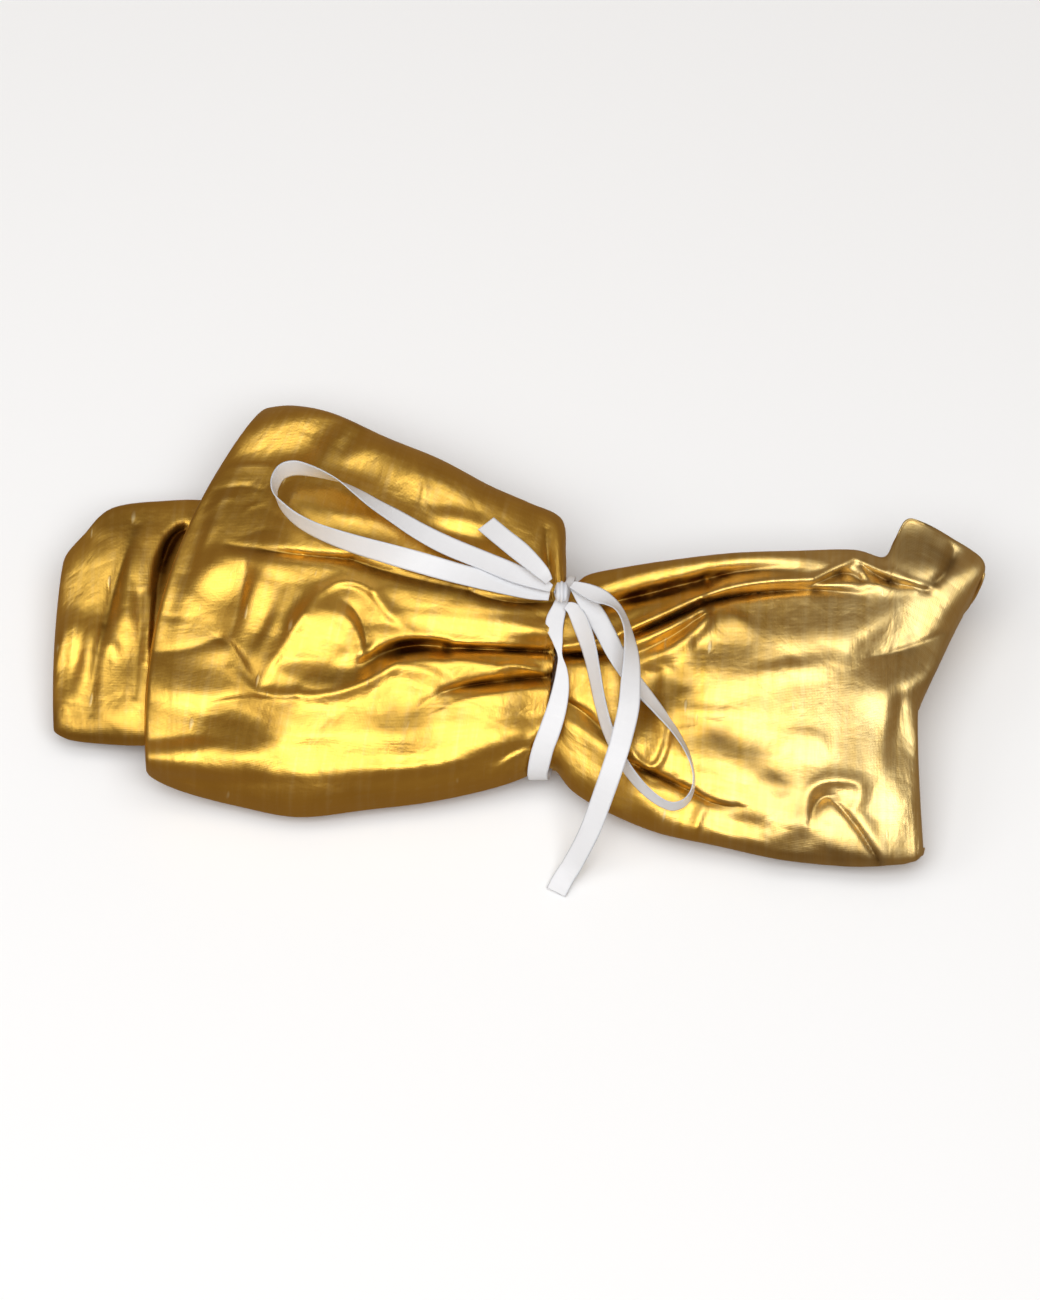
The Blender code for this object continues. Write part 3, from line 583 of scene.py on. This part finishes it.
def fold_heights(folds, u, v):
    """How far the folds raise the cloth at these pixels, and how far the creases lower it."""
    raised = np.zeros(u.shape)
    sunken = np.zeros(u.shape)
    for u0, v0, u1, v1, u2, v2, h0, h1, h2, wide_left, wide_right, sharp in folds:
        start, middle, end = np.array([u0, v0]), np.array([u1, v1]), np.array([u2, v2])
        control = 2 * middle - (start + end) / 2
        reach = FOLD_REACH * max(wide_left, wide_right)
        low = np.minimum(np.minimum(start, middle), end) - reach
        high = np.maximum(np.maximum(start, middle), end) + reach
        near = (u > low[0]) & (u < high[0]) & (v > low[1]) & (v < high[1])
        if not near.any():
            continue
        pu, pv = u[near], v[near]
        t = np.linspace(0, 1, FOLD_STEPS + 1)[:, None]
        line = (1 - t) ** 2 * start + 2 * t * (1 - t) * control + t ** 2 * end
        best = np.full(pu.shape, 1e9)
        place = np.zeros(pu.shape)
        side = np.zeros(pu.shape)
        for k in range(len(line) - 1):
            step = line[k + 1] - line[k]
            along = ((pu - line[k, 0]) * step[0] + (pv - line[k, 1]) * step[1]) / (step @ step)
            along = np.clip(along, 0, 1)
            du = pu - line[k, 0] - along * step[0]
            dv = pv - line[k, 1] - along * step[1]
            far = np.hypot(du, dv)
            closer = far < best
            best = np.where(closer, far, best)
            place = np.where(closer, (k + along) / (len(line) - 1), place)
            side = np.where(closer, step[0] * dv - step[1] * du, side)
        height = np.interp(place, [0, 0.5, 1], [h0, h1, h2])
        wide = np.where(side < 0, wide_left, wide_right)
        height = height * np.exp(-(best / wide) ** sharp)
        raised[near] += np.maximum(height, 0) ** FOLD_MEETING
        sunken[near] += np.maximum(-height, 0) ** FOLD_MEETING
    return raised ** (1 / FOLD_MEETING), sunken ** (1 / FOLD_MEETING)


def soft_noise(a, b, seed):
    """Smooth random heights from -1 to 1 over a plane, one bump to each whole step."""
    size = 128
    lattice = np.random.default_rng(seed).uniform(-1, 1, (size, size))
    i, j = np.floor(a).astype(int), np.floor(b).astype(int)
    s, t = ramp(a - i, 0, 1), ramp(b - j, 0, 1)
    low, high = (lattice[i % size, (j + k) % size] for k in (0, 1))
    low_next, high_next = (lattice[(i + 1) % size, (j + k) % size] for k in (0, 1))
    return (low * (1 - s) + low_next * s) * (1 - t) + (high * (1 - s) + high_next * s) * t


def crumple_heights(u, v, seed):
    """Small crisp creases with round swells between them, as in a stiff cloth."""
    total = np.zeros(u.shape)
    for k, (height, wide) in enumerate(CRUMPLES):
        bent = soft_noise(u / wide / 2, v / wide / 2, seed + 10 * k) * CRUMPLE_WANDER
        a = (0.8 * u + 0.6 * v) / wide + bent
        b = (0.8 * v - 0.6 * u) / wide - bent
        painted_shade_and_selvedge = np.abs(soft_noise(a, b, seed + 10 * k + 1)) ** CRUMPLE_POWER
        total += height * (painted_shade_and_selvedge - CRUMPLE_SINK)
    return total


def section_grid(sections, count, columns, bend):
    """The bare arches through the sections, as a grid of points from tuck to tuck."""
    fine = smooth_rows(sections, SECTION_STEPS)
    steps = np.linalg.norm(np.diff(fine[:, [0, 2, 3, 5]], axis=0), axis=1)
    place = np.concatenate([[0], np.cumsum(steps)])
    even = np.linspace(0, place[-1], count)
    rows = np.stack([np.interp(even, place, column) for column in fine.T], 1)
    x_low, y_low, z_low, x_high, y_high, z_high = (c[:, None] for c in rows.T[:6])
    crest, bow, curl, tuck = (c[:, None] for c in rows.T[6:])
    inward = np.stack([x_high - x_low, y_high - y_low, 0 * x_low], -1)
    inward /= np.linalg.norm(inward, axis=-1, keepdims=True)
    low = np.stack([x_low, y_low, z_low], -1)
    high = np.stack([x_high, y_high, z_high], -1)
    under = np.linspace(1, 0, ROLL_STEPS)[None, :-1]
    turn = np.linspace(math.pi / 2, 0, ROLL_STEPS)[None, :-1]
    aside = np.concatenate([curl + tuck * under, curl * (1 - np.cos(turn))], 1)[..., None]
    drop = np.concatenate([curl + 0 * under, curl * np.sin(turn)], 1)[..., None]
    down = np.array([0.0, 0.0, -1.0])
    first = low + inward * aside + down * drop
    last = (high - inward * aside + down * drop)[:, ::-1]
    angle = np.linspace(0, math.pi, columns)[None, :]
    share = (1 - np.cos(angle)) / 4 + angle / math.pi / 2
    arch = low + (high - low) * share[..., None]
    arch[..., 0] += bow * (1 - np.abs(2 * share - 1) ** bend)
    rise = crest - (z_low + z_high) / 2
    arch[..., 2] += rise * np.sqrt(np.maximum(4 * share * (1 - share), 0)) ** ARCH_POWER
    return np.concatenate([first, arch, last], 1)


def fold_cloth(grid, facets, folds, seed):
    """The grid with its folds, which rise towards the camera, and how deep its creases are."""
    normals = grid_normals(grid)
    to_camera = np.array([0.0, -math.cos(ELEVATION), math.sin(ELEVATION)])
    facing = ramp(normals @ to_camera, FACING_FROM, FACING_TO)
    u, v = seen_at(grid)
    flat = flatten_places(facets, grid @ to_camera, u, v, facing)
    raised, sunken = fold_heights(folds, u, v)
    height = flat + (raised - sunken + crumple_heights(u, v, seed)) * facing
    return grid + to_camera * height[..., None], sunken * facing


def cloth_piece(name, grid, node, wall, shades):
    """A closed thin sheet round a grid of points, with its weave laid out and its shades stored."""
    rows, columns = grid.shape[:2]
    normals = grid_normals(grid)
    layers = np.stack([grid + normals * wall / 2, grid - normals * wall / 2])
    index = np.arange(2 * rows * columns).reshape(2, rows, columns)
    over, under = index
    top = np.stack([over[:-1, :-1], over[1:, :-1], over[1:, 1:], over[:-1, 1:]], -1)
    bottom = np.stack([under[:-1, :-1], under[:-1, 1:], under[1:, 1:], under[1:, :-1]], -1)
    faces = [
        top.reshape(-1, 4),
        bottom.reshape(-1, 4),
        np.stack([over[:-1, 0], under[:-1, 0], under[1:, 0], over[1:, 0]], -1),
        np.stack([over[:-1, -1], over[1:, -1], under[1:, -1], under[:-1, -1]], -1),
        np.stack([over[0, :-1], over[0, 1:], under[0, 1:], under[0, :-1]], -1),
        np.stack([over[-1, :-1], under[-1, :-1], under[-1, 1:], over[-1, 1:]], -1),
    ]
    faces = np.concatenate(faces)
    mesh = bpy.data.meshes.new(name)
    mesh.from_pydata((layers.reshape(-1, 3) * MM).tolist(), [], faces.tolist())
    mesh.shade_smooth()
    weave = mesh.uv_layers.new(name="weave")
    along = np.cumsum(np.linalg.norm(np.diff(grid, axis=0, prepend=grid[:1]), axis=-1).mean(1))
    across = np.cumsum(np.linalg.norm(np.diff(grid, axis=1, prepend=grid[:, :1]), axis=-1).mean(0))
    flat = np.stack(np.broadcast_arrays(along[:, None], across[None, :]), -1)
    flat = np.concatenate([flat.reshape(-1, 2)] * 2)
    flat = flat[faces.reshape(-1)] * MM * WEAVE_PER_METRE
    weave.data.foreach_set("uv", flat.astype(np.float32).reshape(-1))
    for title, values in shades.items():
        shade = mesh.attributes.new(title, "FLOAT", "POINT")
        values = np.broadcast_to(np.clip(values, 0, 1), (rows, columns))
        shade.data.foreach_set("value", np.tile(values.reshape(-1), 2).astype(np.float32))
    piece = bpy.data.objects.new(name, mesh)
    bpy.context.scene.collection.objects.link(piece)
    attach(piece, "root")
    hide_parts(node)
    return piece


def panel(name, sections, facets, folds, shade_places, node, rows, columns, seed, bend=ROUND_BEND):
    """One gathered panel of the cloth, and the grid of its points."""
    bare = section_grid(sections, rows, columns, bend)
    if sections[0][0] > sections[-1][0]:
        bare = bare[::-1]
    grid, sunken = fold_cloth(bare, facets, folds, seed)
    # Painted shade: the colour is darkened in the creases and at the places of painted shade.
    unshaded = (1 - np.clip(sunken / CREASE_DEPTH, 0, 1)) * (1 - painted_shade_places(shade_places, *seen_at(grid)))
    shades = {"painted_shade_and_selvedge": 1 - unshaded, "painted_light_and_tone": painted_light_and_tone(grid)}
    return cloth_piece(name, grid, node, CLOTH_WALL, shades), grid


def painted_light_and_tone(grid):
    """How much paler the gold is painted, as painted light: more towards the flared corner."""
    return PALE_SHARE * ramp(grid[..., 0], PALE_FROM, PALE_TO)


def back_cloth():
    """The band behind, flat on the ground."""
    rows = smooth_rows(BACK_BAND, BACK_STEPS)
    share = np.linspace(0, 1, BACK_COLUMNS)[None, :]
    x, y_low, y_high = (c[:, None] for c in rows.T)
    y = y_low + (y_high - y_low) * share
    grid = np.stack([x + 0 * share, y, BACK_HEIGHT + 0 * y], -1)
    shades = {"painted_shade_and_selvedge": 0 * y, "painted_light_and_tone": painted_light_and_tone(grid)}
    return cloth_piece("back_cloth", grid, "back_band", BACK_WALL, shades), grid


def ribbon_grid(path, width, roll):
    """A strip along a path: its width turned by roll from the level, its middle a little hollow."""
    ahead = np.gradient(path, axis=0)
    ahead /= np.linalg.norm(ahead, axis=1, keepdims=True)
    level = np.cross([0.0, 0.0, 1.0], ahead)
    level /= np.linalg.norm(level, axis=1, keepdims=True)
    over = np.cross(ahead, level)
    turn = np.radians(roll)[:, None]
    wide = level * np.cos(turn) + over * np.sin(turn)
    out = np.cross(ahead, wide)
    share = np.linspace(-0.5, 0.5, RIBBON_COLUMNS)[None, :, None]
    half = width[:, None, None]
    grid = path[:, None, :] + wide[:, None, :] * share * half
    return grid + out[:, None, :] * RIBBON_CUP * (4 * share ** 2 - 1 / 3)


def ribbon_piece(name, table, node):
    """One free strand of the bow, and its middle line."""
    rows = smooth_rows(table, RIBBON_STEPS)
    grid = ribbon_grid(rows[:, :3], rows[:, 4], rows[:, 3])
    piece = cloth_piece(name, grid, node, RIBBON_WALL, SELVEDGE)
    return piece, rows[:, :3]


def band_piece():
    """The ribbon once round the gathers, its ends hidden under the knot."""
    rows = smooth_rows(BAND + BAND[:1], RIBBON_STEPS)
    path = rows[:, :3]
    ahead = np.gradient(path, axis=0)
    ahead[0] = ahead[-1] = path[1] - path[-2]
    ahead /= np.linalg.norm(ahead, axis=1, keepdims=True)
    wide = np.array([1.0, 0.0, 0.0]) - ahead * ahead[:, :1]
    wide /= np.linalg.norm(wide, axis=1, keepdims=True)
    share = np.linspace(-0.5, 0.5, RIBBON_COLUMNS)[None, :, None]
    grid = path[:, None, :] + wide[:, None, :] * share * rows[:, 3][:, None, None]
    piece = cloth_piece("waist_ribbon", grid, "ribbon_band", RIBBON_WALL, SELVEDGE)
    return piece, path


def knot_piece():
    """The small knot: the ribbon's turns, pulled tight one beside the other."""
    around = np.linspace(0, 2 * math.pi, 61)[:, None]
    share = np.linspace(-1, 1, 25)[None, :]
    turns = 1 + KNOT_GROOVE * np.cos(3 * math.pi * share + 0.8 * np.sin(around))
    size = np.maximum(1 - np.abs(share) ** 3.2, 0.02) ** 0.5 * turns
    x = share * KNOT_SIZE[0] / 2 + 0.25 * np.sin(around)
    y = np.cos(around) * size * KNOT_SIZE[1] / 2
    z = np.sin(around) * size * KNOT_SIZE[2] / 2
    grid = np.stack([x, y, z], -1) + np.array(KNOT)
    # Painted shade: the knot is darker than the ribbon, and darker still in the grooves between its
    # turns.
    shades = {"painted_shade_and_selvedge": 0.6 - 5 * (turns - 1), "painted_light_and_tone": 0.4 + 0 * turns}
    return cloth_piece("bow_knot", grid, "ribbon_knot", KNOT_WALL, shades)


def woven_group():
    """A shared look for woven cloth: threads, slubs, small crinkles, and colour darkened where the mesh
    marks painted shade, and on the ribbon its selvedge.
    """
    group = bpy.data.node_groups.new("woven_cloth", "ShaderNodeTree")
    sockets = [
        ("Place", "INPUT", "NodeSocketVector"),
        ("Colour", "INPUT", "NodeSocketColor"),
        ("Painted Shade And Selvedge Colour", "INPUT", "NodeSocketColor"),
        ("Pale Colour", "INPUT", "NodeSocketColor"),
        ("Painted_Shade_And_Selvedge", "INPUT", "NodeSocketFloat"),
        ("Painted_Light_And_Tone", "INPUT", "NodeSocketFloat"),
        ("Threads", "INPUT", "NodeSocketFloat"),
        ("Slubs", "INPUT", "NodeSocketFloat"),
        ("Crinkle", "INPUT", "NodeSocketFloat"),
        ("Base Roughness", "INPUT", "NodeSocketFloat"),
        ("Colour", "OUTPUT", "NodeSocketColor"),
        ("Roughness", "OUTPUT", "NodeSocketFloat"),
        ("Height", "OUTPUT", "NodeSocketFloat"),
    ]
    for name, way, kind in sockets:
        group.interface.new_socket(name=name, in_out=way, socket_type=kind)
    nodes, links = group.nodes, group.links
    source = nodes.new("NodeGroupInput")
    result = nodes.new("NodeGroupOutput")

    def math_node(operation, a, b=None, c=None):
        node = nodes.new("ShaderNodeMath")
        node.operation = operation
        for socket, value in zip(node.inputs, (a, b, c)):
            if isinstance(value, (int, float)):
                socket.default_value = value
            elif value is not None:
                links.new(value, socket)
        return node.outputs[0]

    def stretched_noise(scale, detail, distortion=0.0):
        """Smooth noise of this many bumps to 100 mm along and across the cloth."""
        mapping = nodes.new("ShaderNodeMapping")
        mapping.inputs["Scale"].default_value = (scale[0], scale[1], 1.0)
        noise = nodes.new("ShaderNodeTexNoise")
        noise.inputs["Scale"].default_value = 1.0
        noise.inputs["Detail"].default_value = detail
        noise.inputs["Distortion"].default_value = distortion
        links.new(source.outputs["Place"], mapping.inputs["Vector"])
        links.new(mapping.outputs["Vector"], noise.inputs["Vector"])
        return noise.outputs["Fac"]

    place = nodes.new("ShaderNodeSeparateXYZ")
    links.new(source.outputs["Place"], place.inputs[0])
    turns = math_node("MULTIPLY", source.outputs["Threads"], 2 * math.pi)
    warp = math_node("SINE", math_node("MULTIPLY", place.outputs["X"], turns))
    weft = math_node("SINE", math_node("MULTIPLY", place.outputs["Y"], turns))
    threads = math_node("MULTIPLY", math_node("ADD", warp, weft), THREAD_HEIGHT)

    across = stretched_noise((46.0, 3.0), 3.0)
    along = stretched_noise((3.5, 70.0), 2.0)
    slub = math_node("ADD", math_node("MULTIPLY", across, 0.7), math_node("MULTIPLY", along, 0.3))
    slub = math_node("SUBTRACT", slub, 0.5)
    fleck = math_node("SUBTRACT", stretched_noise((34.0, 9.0), 1.0), 0.73)
    fleck = math_node("MULTIPLY", math_node("MAXIMUM", fleck, 0.0), 9.0)
    mottle = math_node("SUBTRACT", stretched_noise((9.0, 9.0), 4.0, 0.4), 0.5)
    crinkle = math_node("MULTIPLY", mottle, source.outputs["Crinkle"])

    marks = math_node("MULTIPLY", math_node("ADD", slub, fleck), source.outputs["Slubs"])
    height = math_node("ADD", threads, crinkle)
    height = math_node("ADD", height, math_node("MULTIPLY", marks, SLUB_HEIGHT))
    links.new(height, result.inputs["Height"])

    rough = math_node("MULTIPLY_ADD", marks, SLUB_ROUGHNESS, source.outputs["Base Roughness"])
    rough = math_node("MULTIPLY_ADD", mottle, MOTTLE_ROUGHNESS, rough)
    links.new(rough, result.inputs["Roughness"])

    def mixed(factor, first, second):
        node = nodes.new("ShaderNodeMix")
        node.data_type = "RGBA"
        links.new(factor, node.inputs["Factor"])
        links.new(first, node.inputs["A"])
        links.new(second, node.inputs["B"])
        return node.outputs["Result"]

    def kept_in_range(value):
        return math_node("MINIMUM", math_node("MAXIMUM", value, 0.0), 1.0)

    # Paler towards the pale colour at the slubs, the cloth's own tone, and where the mesh marks it:
    # painted light on the gold, the ribbon's own tone on the ribbon.
    pale = math_node("MULTIPLY", marks, SLUB_PALENESS)
    pale = math_node("ADD", source.outputs["Painted_Light_And_Tone"], pale)
    colour = mixed(kept_in_range(pale), source.outputs["Colour"], source.outputs["Pale Colour"])
    # Painted shade: the colour is darkened unevenly towards the shade colour where the mesh marks it;
    # on the ribbon the same darkening makes its darker selvedge.
    uneven = math_node("MULTIPLY_ADD", mottle, MOTTLE_CREASE, 1.0)
    deep = math_node("MULTIPLY", source.outputs["Painted_Shade_And_Selvedge"], uneven)
    deep = mixed(kept_in_range(deep), colour, source.outputs["Painted Shade And Selvedge Colour"])
    links.new(deep, result.inputs["Colour"])
    return group


def woven_material(name, group, settings, metallic, bump):
    """A woven cloth with these settings of the shared group."""
    material = bpy.data.materials.new(name)
    material.use_nodes = True
    nodes, links = material.node_tree.nodes, material.node_tree.links
    shader = nodes["Principled BSDF"]
    weave = nodes.new("ShaderNodeGroup")
    weave.node_tree = group
    for key, value in settings.items():
        weave.inputs[key].default_value = value
    place = nodes.new("ShaderNodeUVMap")
    place.uv_map = "weave"
    links.new(place.outputs["UV"], weave.inputs["Place"])
    for key in ("Painted_Shade_And_Selvedge", "Painted_Light_And_Tone"):
        value = nodes.new("ShaderNodeAttribute")
        value.attribute_name = key.lower()
        links.new(value.outputs["Fac"], weave.inputs[key])
    relief = nodes.new("ShaderNodeBump")
    relief.inputs["Strength"].default_value = bump
    relief.inputs["Distance"].default_value = 0.001
    links.new(weave.outputs["Height"], relief.inputs["Height"])
    links.new(relief.outputs["Normal"], shader.inputs["Normal"])
    links.new(weave.outputs["Colour"], shader.inputs["Base Color"])
    links.new(weave.outputs["Roughness"], shader.inputs["Roughness"])
    shader.inputs["Metallic"].default_value = metallic
    return material


def gold_material(group):
    """Bright gold metallic cloth, with painted shade darkening its creases and other places, and
    painted light making it paler towards the flared corner.
    """
    return woven_material("gold_cloth", group, {
        "Colour": (0.80, 0.485, 0.088, 1),
        "Painted Shade And Selvedge Colour": (0.085, 0.030, 0.004, 1),
        "Pale Colour": (0.93, 0.78, 0.42, 1),
        "Threads": 220.0,
        "Slubs": 0.75,
        "Crinkle": 1.15,
        "Base Roughness": 0.40,
    }, 1.0, 0.55)


def ribbon_material(group):
    """White satin ribbon with slightly darker edges."""
    return woven_material("white_ribbon", group, {
        "Colour": (0.72, 0.74, 0.78, 1),
        "Painted Shade And Selvedge Colour": (0.50, 0.53, 0.58, 1),
        "Pale Colour": (0.86, 0.87, 0.89, 1),
        "Threads": 260.0,
        "Slubs": 0.35,
        "Crinkle": 0.35,
        "Base Roughness": 0.42,
    }, 0.0, 0.35)


def lay_floor():
    """A plain pale floor, which the gold doesn't mirror."""
    bpy.ops.mesh.primitive_plane_add(size=FLOOR_SIZE)
    floor = bpy.context.object
    floor.name = "floor"
    pale = bpy.data.materials.new("pale_floor")
    pale.use_nodes = True
    shader = pale.node_tree.nodes["Principled BSDF"]
    shader.inputs["Base Color"].default_value = FLOOR_COLOUR
    shader.inputs["Roughness"].default_value = 0.9
    floor.data.materials.append(pale)
    floor.visible_glossy = False


def shade_studio():
    """Grey overhead, and dim and warm behind the turban and near the floor."""
    world = bpy.data.worlds.new("studio")
    bpy.context.scene.world = world
    world.use_nodes = True
    nodes, links = world.node_tree.nodes, world.node_tree.links
    place = nodes.new("ShaderNodeTexCoord")
    way = nodes.new("ShaderNodeSeparateXYZ")
    links.new(place.outputs["Generated"], way.inputs[0])

    def fade(value, limits):
        node = nodes.new("ShaderNodeMapRange")
        node.inputs["From Min"].default_value, node.inputs["From Max"].default_value = limits
        links.new(value, node.inputs["Value"])
        return node.outputs["Result"]

    ahead = nodes.new("ShaderNodeMath")
    ahead.operation = "MULTIPLY_ADD"
    ahead.inputs[1].default_value = -AHEAD_WEIGHT
    links.new(way.outputs["Y"], ahead.inputs[0])
    links.new(way.outputs["Z"], ahead.inputs[2])
    both = nodes.new("ShaderNodeMath")
    both.operation = "MULTIPLY"
    links.new(fade(ahead.outputs[0], GREY_AHEAD), both.inputs[0])
    links.new(fade(way.outputs["Z"], GREY_ABOVE), both.inputs[1])
    shade = nodes.new("ShaderNodeMix")
    shade.data_type = "RGBA"
    shade.inputs["A"].default_value = DIM_STUDIO
    shade.inputs["B"].default_value = GREY_STUDIO
    links.new(both.outputs[0], shade.inputs["Factor"])
    links.new(shade.outputs["Result"], nodes["Background"].inputs["Color"])
    nodes["Background"].inputs["Strength"].default_value = 1.0


def hang_lights():
    """The three soft boxes."""
    for name, place, width, height, watts in LIGHTS:
        data = bpy.data.lights.new(name, "AREA")
        data.shape = "RECTANGLE"
        data.size = width
        data.size_y = height
        data.energy = watts
        lamp = bpy.data.objects.new(name, data)
        lamp.location = place
        lamp.rotation_euler = (-Vector(place)).to_track_quat("-Z", "Y").to_euler()
        bpy.context.scene.collection.objects.link(lamp)


def camera():
    """The photograph's view, from the front and ELEVATION above the floor."""
    data = bpy.data.cameras.new("camera")
    data.sensor_width = SENSOR
    data.lens = CAMERA_DISTANCE / MM_PER_PIXEL * SENSOR / PHOTO_HEIGHT
    data.clip_end = 20.0
    eye = bpy.data.objects.new("camera", data)
    target = Vector((0, 0, LOOK_HEIGHT)) * MM
    back = Vector((0, -math.cos(ELEVATION), math.sin(ELEVATION)))
    eye.location = target + back * CAMERA_DISTANCE * MM
    eye.rotation_euler = (-back).to_track_quat("-Z", "Y").to_euler()
    bpy.context.scene.collection.objects.link(eye)
    bpy.context.scene.camera = eye


camera()
lay_floor()
shade_studio()
hang_lights()

loop_left, loop_left_path = ribbon_piece("bow_loop_left", LOOP_LEFT, "ribbon_loop_left")
loop_right, loop_right_path = ribbon_piece("bow_loop_right", LOOP_RIGHT, "ribbon_loop_right")
tail_short, _ = ribbon_piece("bow_tail_short", TAIL_SHORT, "ribbon_tail_short")
tail_long, tail_long_path = ribbon_piece("bow_tail_long", TAIL_LONG, "ribbon_tail_long")
waist_ribbon, waist_path = band_piece()
knot = knot_piece()

left_cloth, left_grid = panel(
    "left_cloth", LEFT_PANEL, LEFT_FACETS, LEFT_FOLDS, LEFT_PAINTED_SHADE, "left_panel",
    rows=186, columns=250, seed=3,
)
right_cloth, right_grid = panel(
    "right_cloth", RIGHT_PANEL, RIGHT_FACETS, RIGHT_FOLDS, RIGHT_PAINTED_SHADE, "right_panel",
    rows=204, columns=226, seed=4, bend=SHARP_BEND,
)
side_cloth, side_grid = panel(
    "side_cloth", SIDE_FOLD, SIDE_FACETS, SIDE_FOLDS, SIDE_PAINTED_SHADE, "side_fold",
    rows=150, columns=180, seed=5,
)
back, back_grid = back_cloth()

weave = woven_group()
gold = gold_material(weave)
white = ribbon_material(weave)
sheets = (
    (left_cloth, left_grid),
    (right_cloth, right_grid),
    (side_cloth, side_grid),
    (back, back_grid),
)
for piece, _ in sheets:
    piece.data.materials.append(gold)
for piece in (loop_left, loop_right, tail_short, tail_long, waist_ribbon, knot):
    piece.data.materials.append(white)

bpy.context.scene.view_settings.view_transform = "Standard"
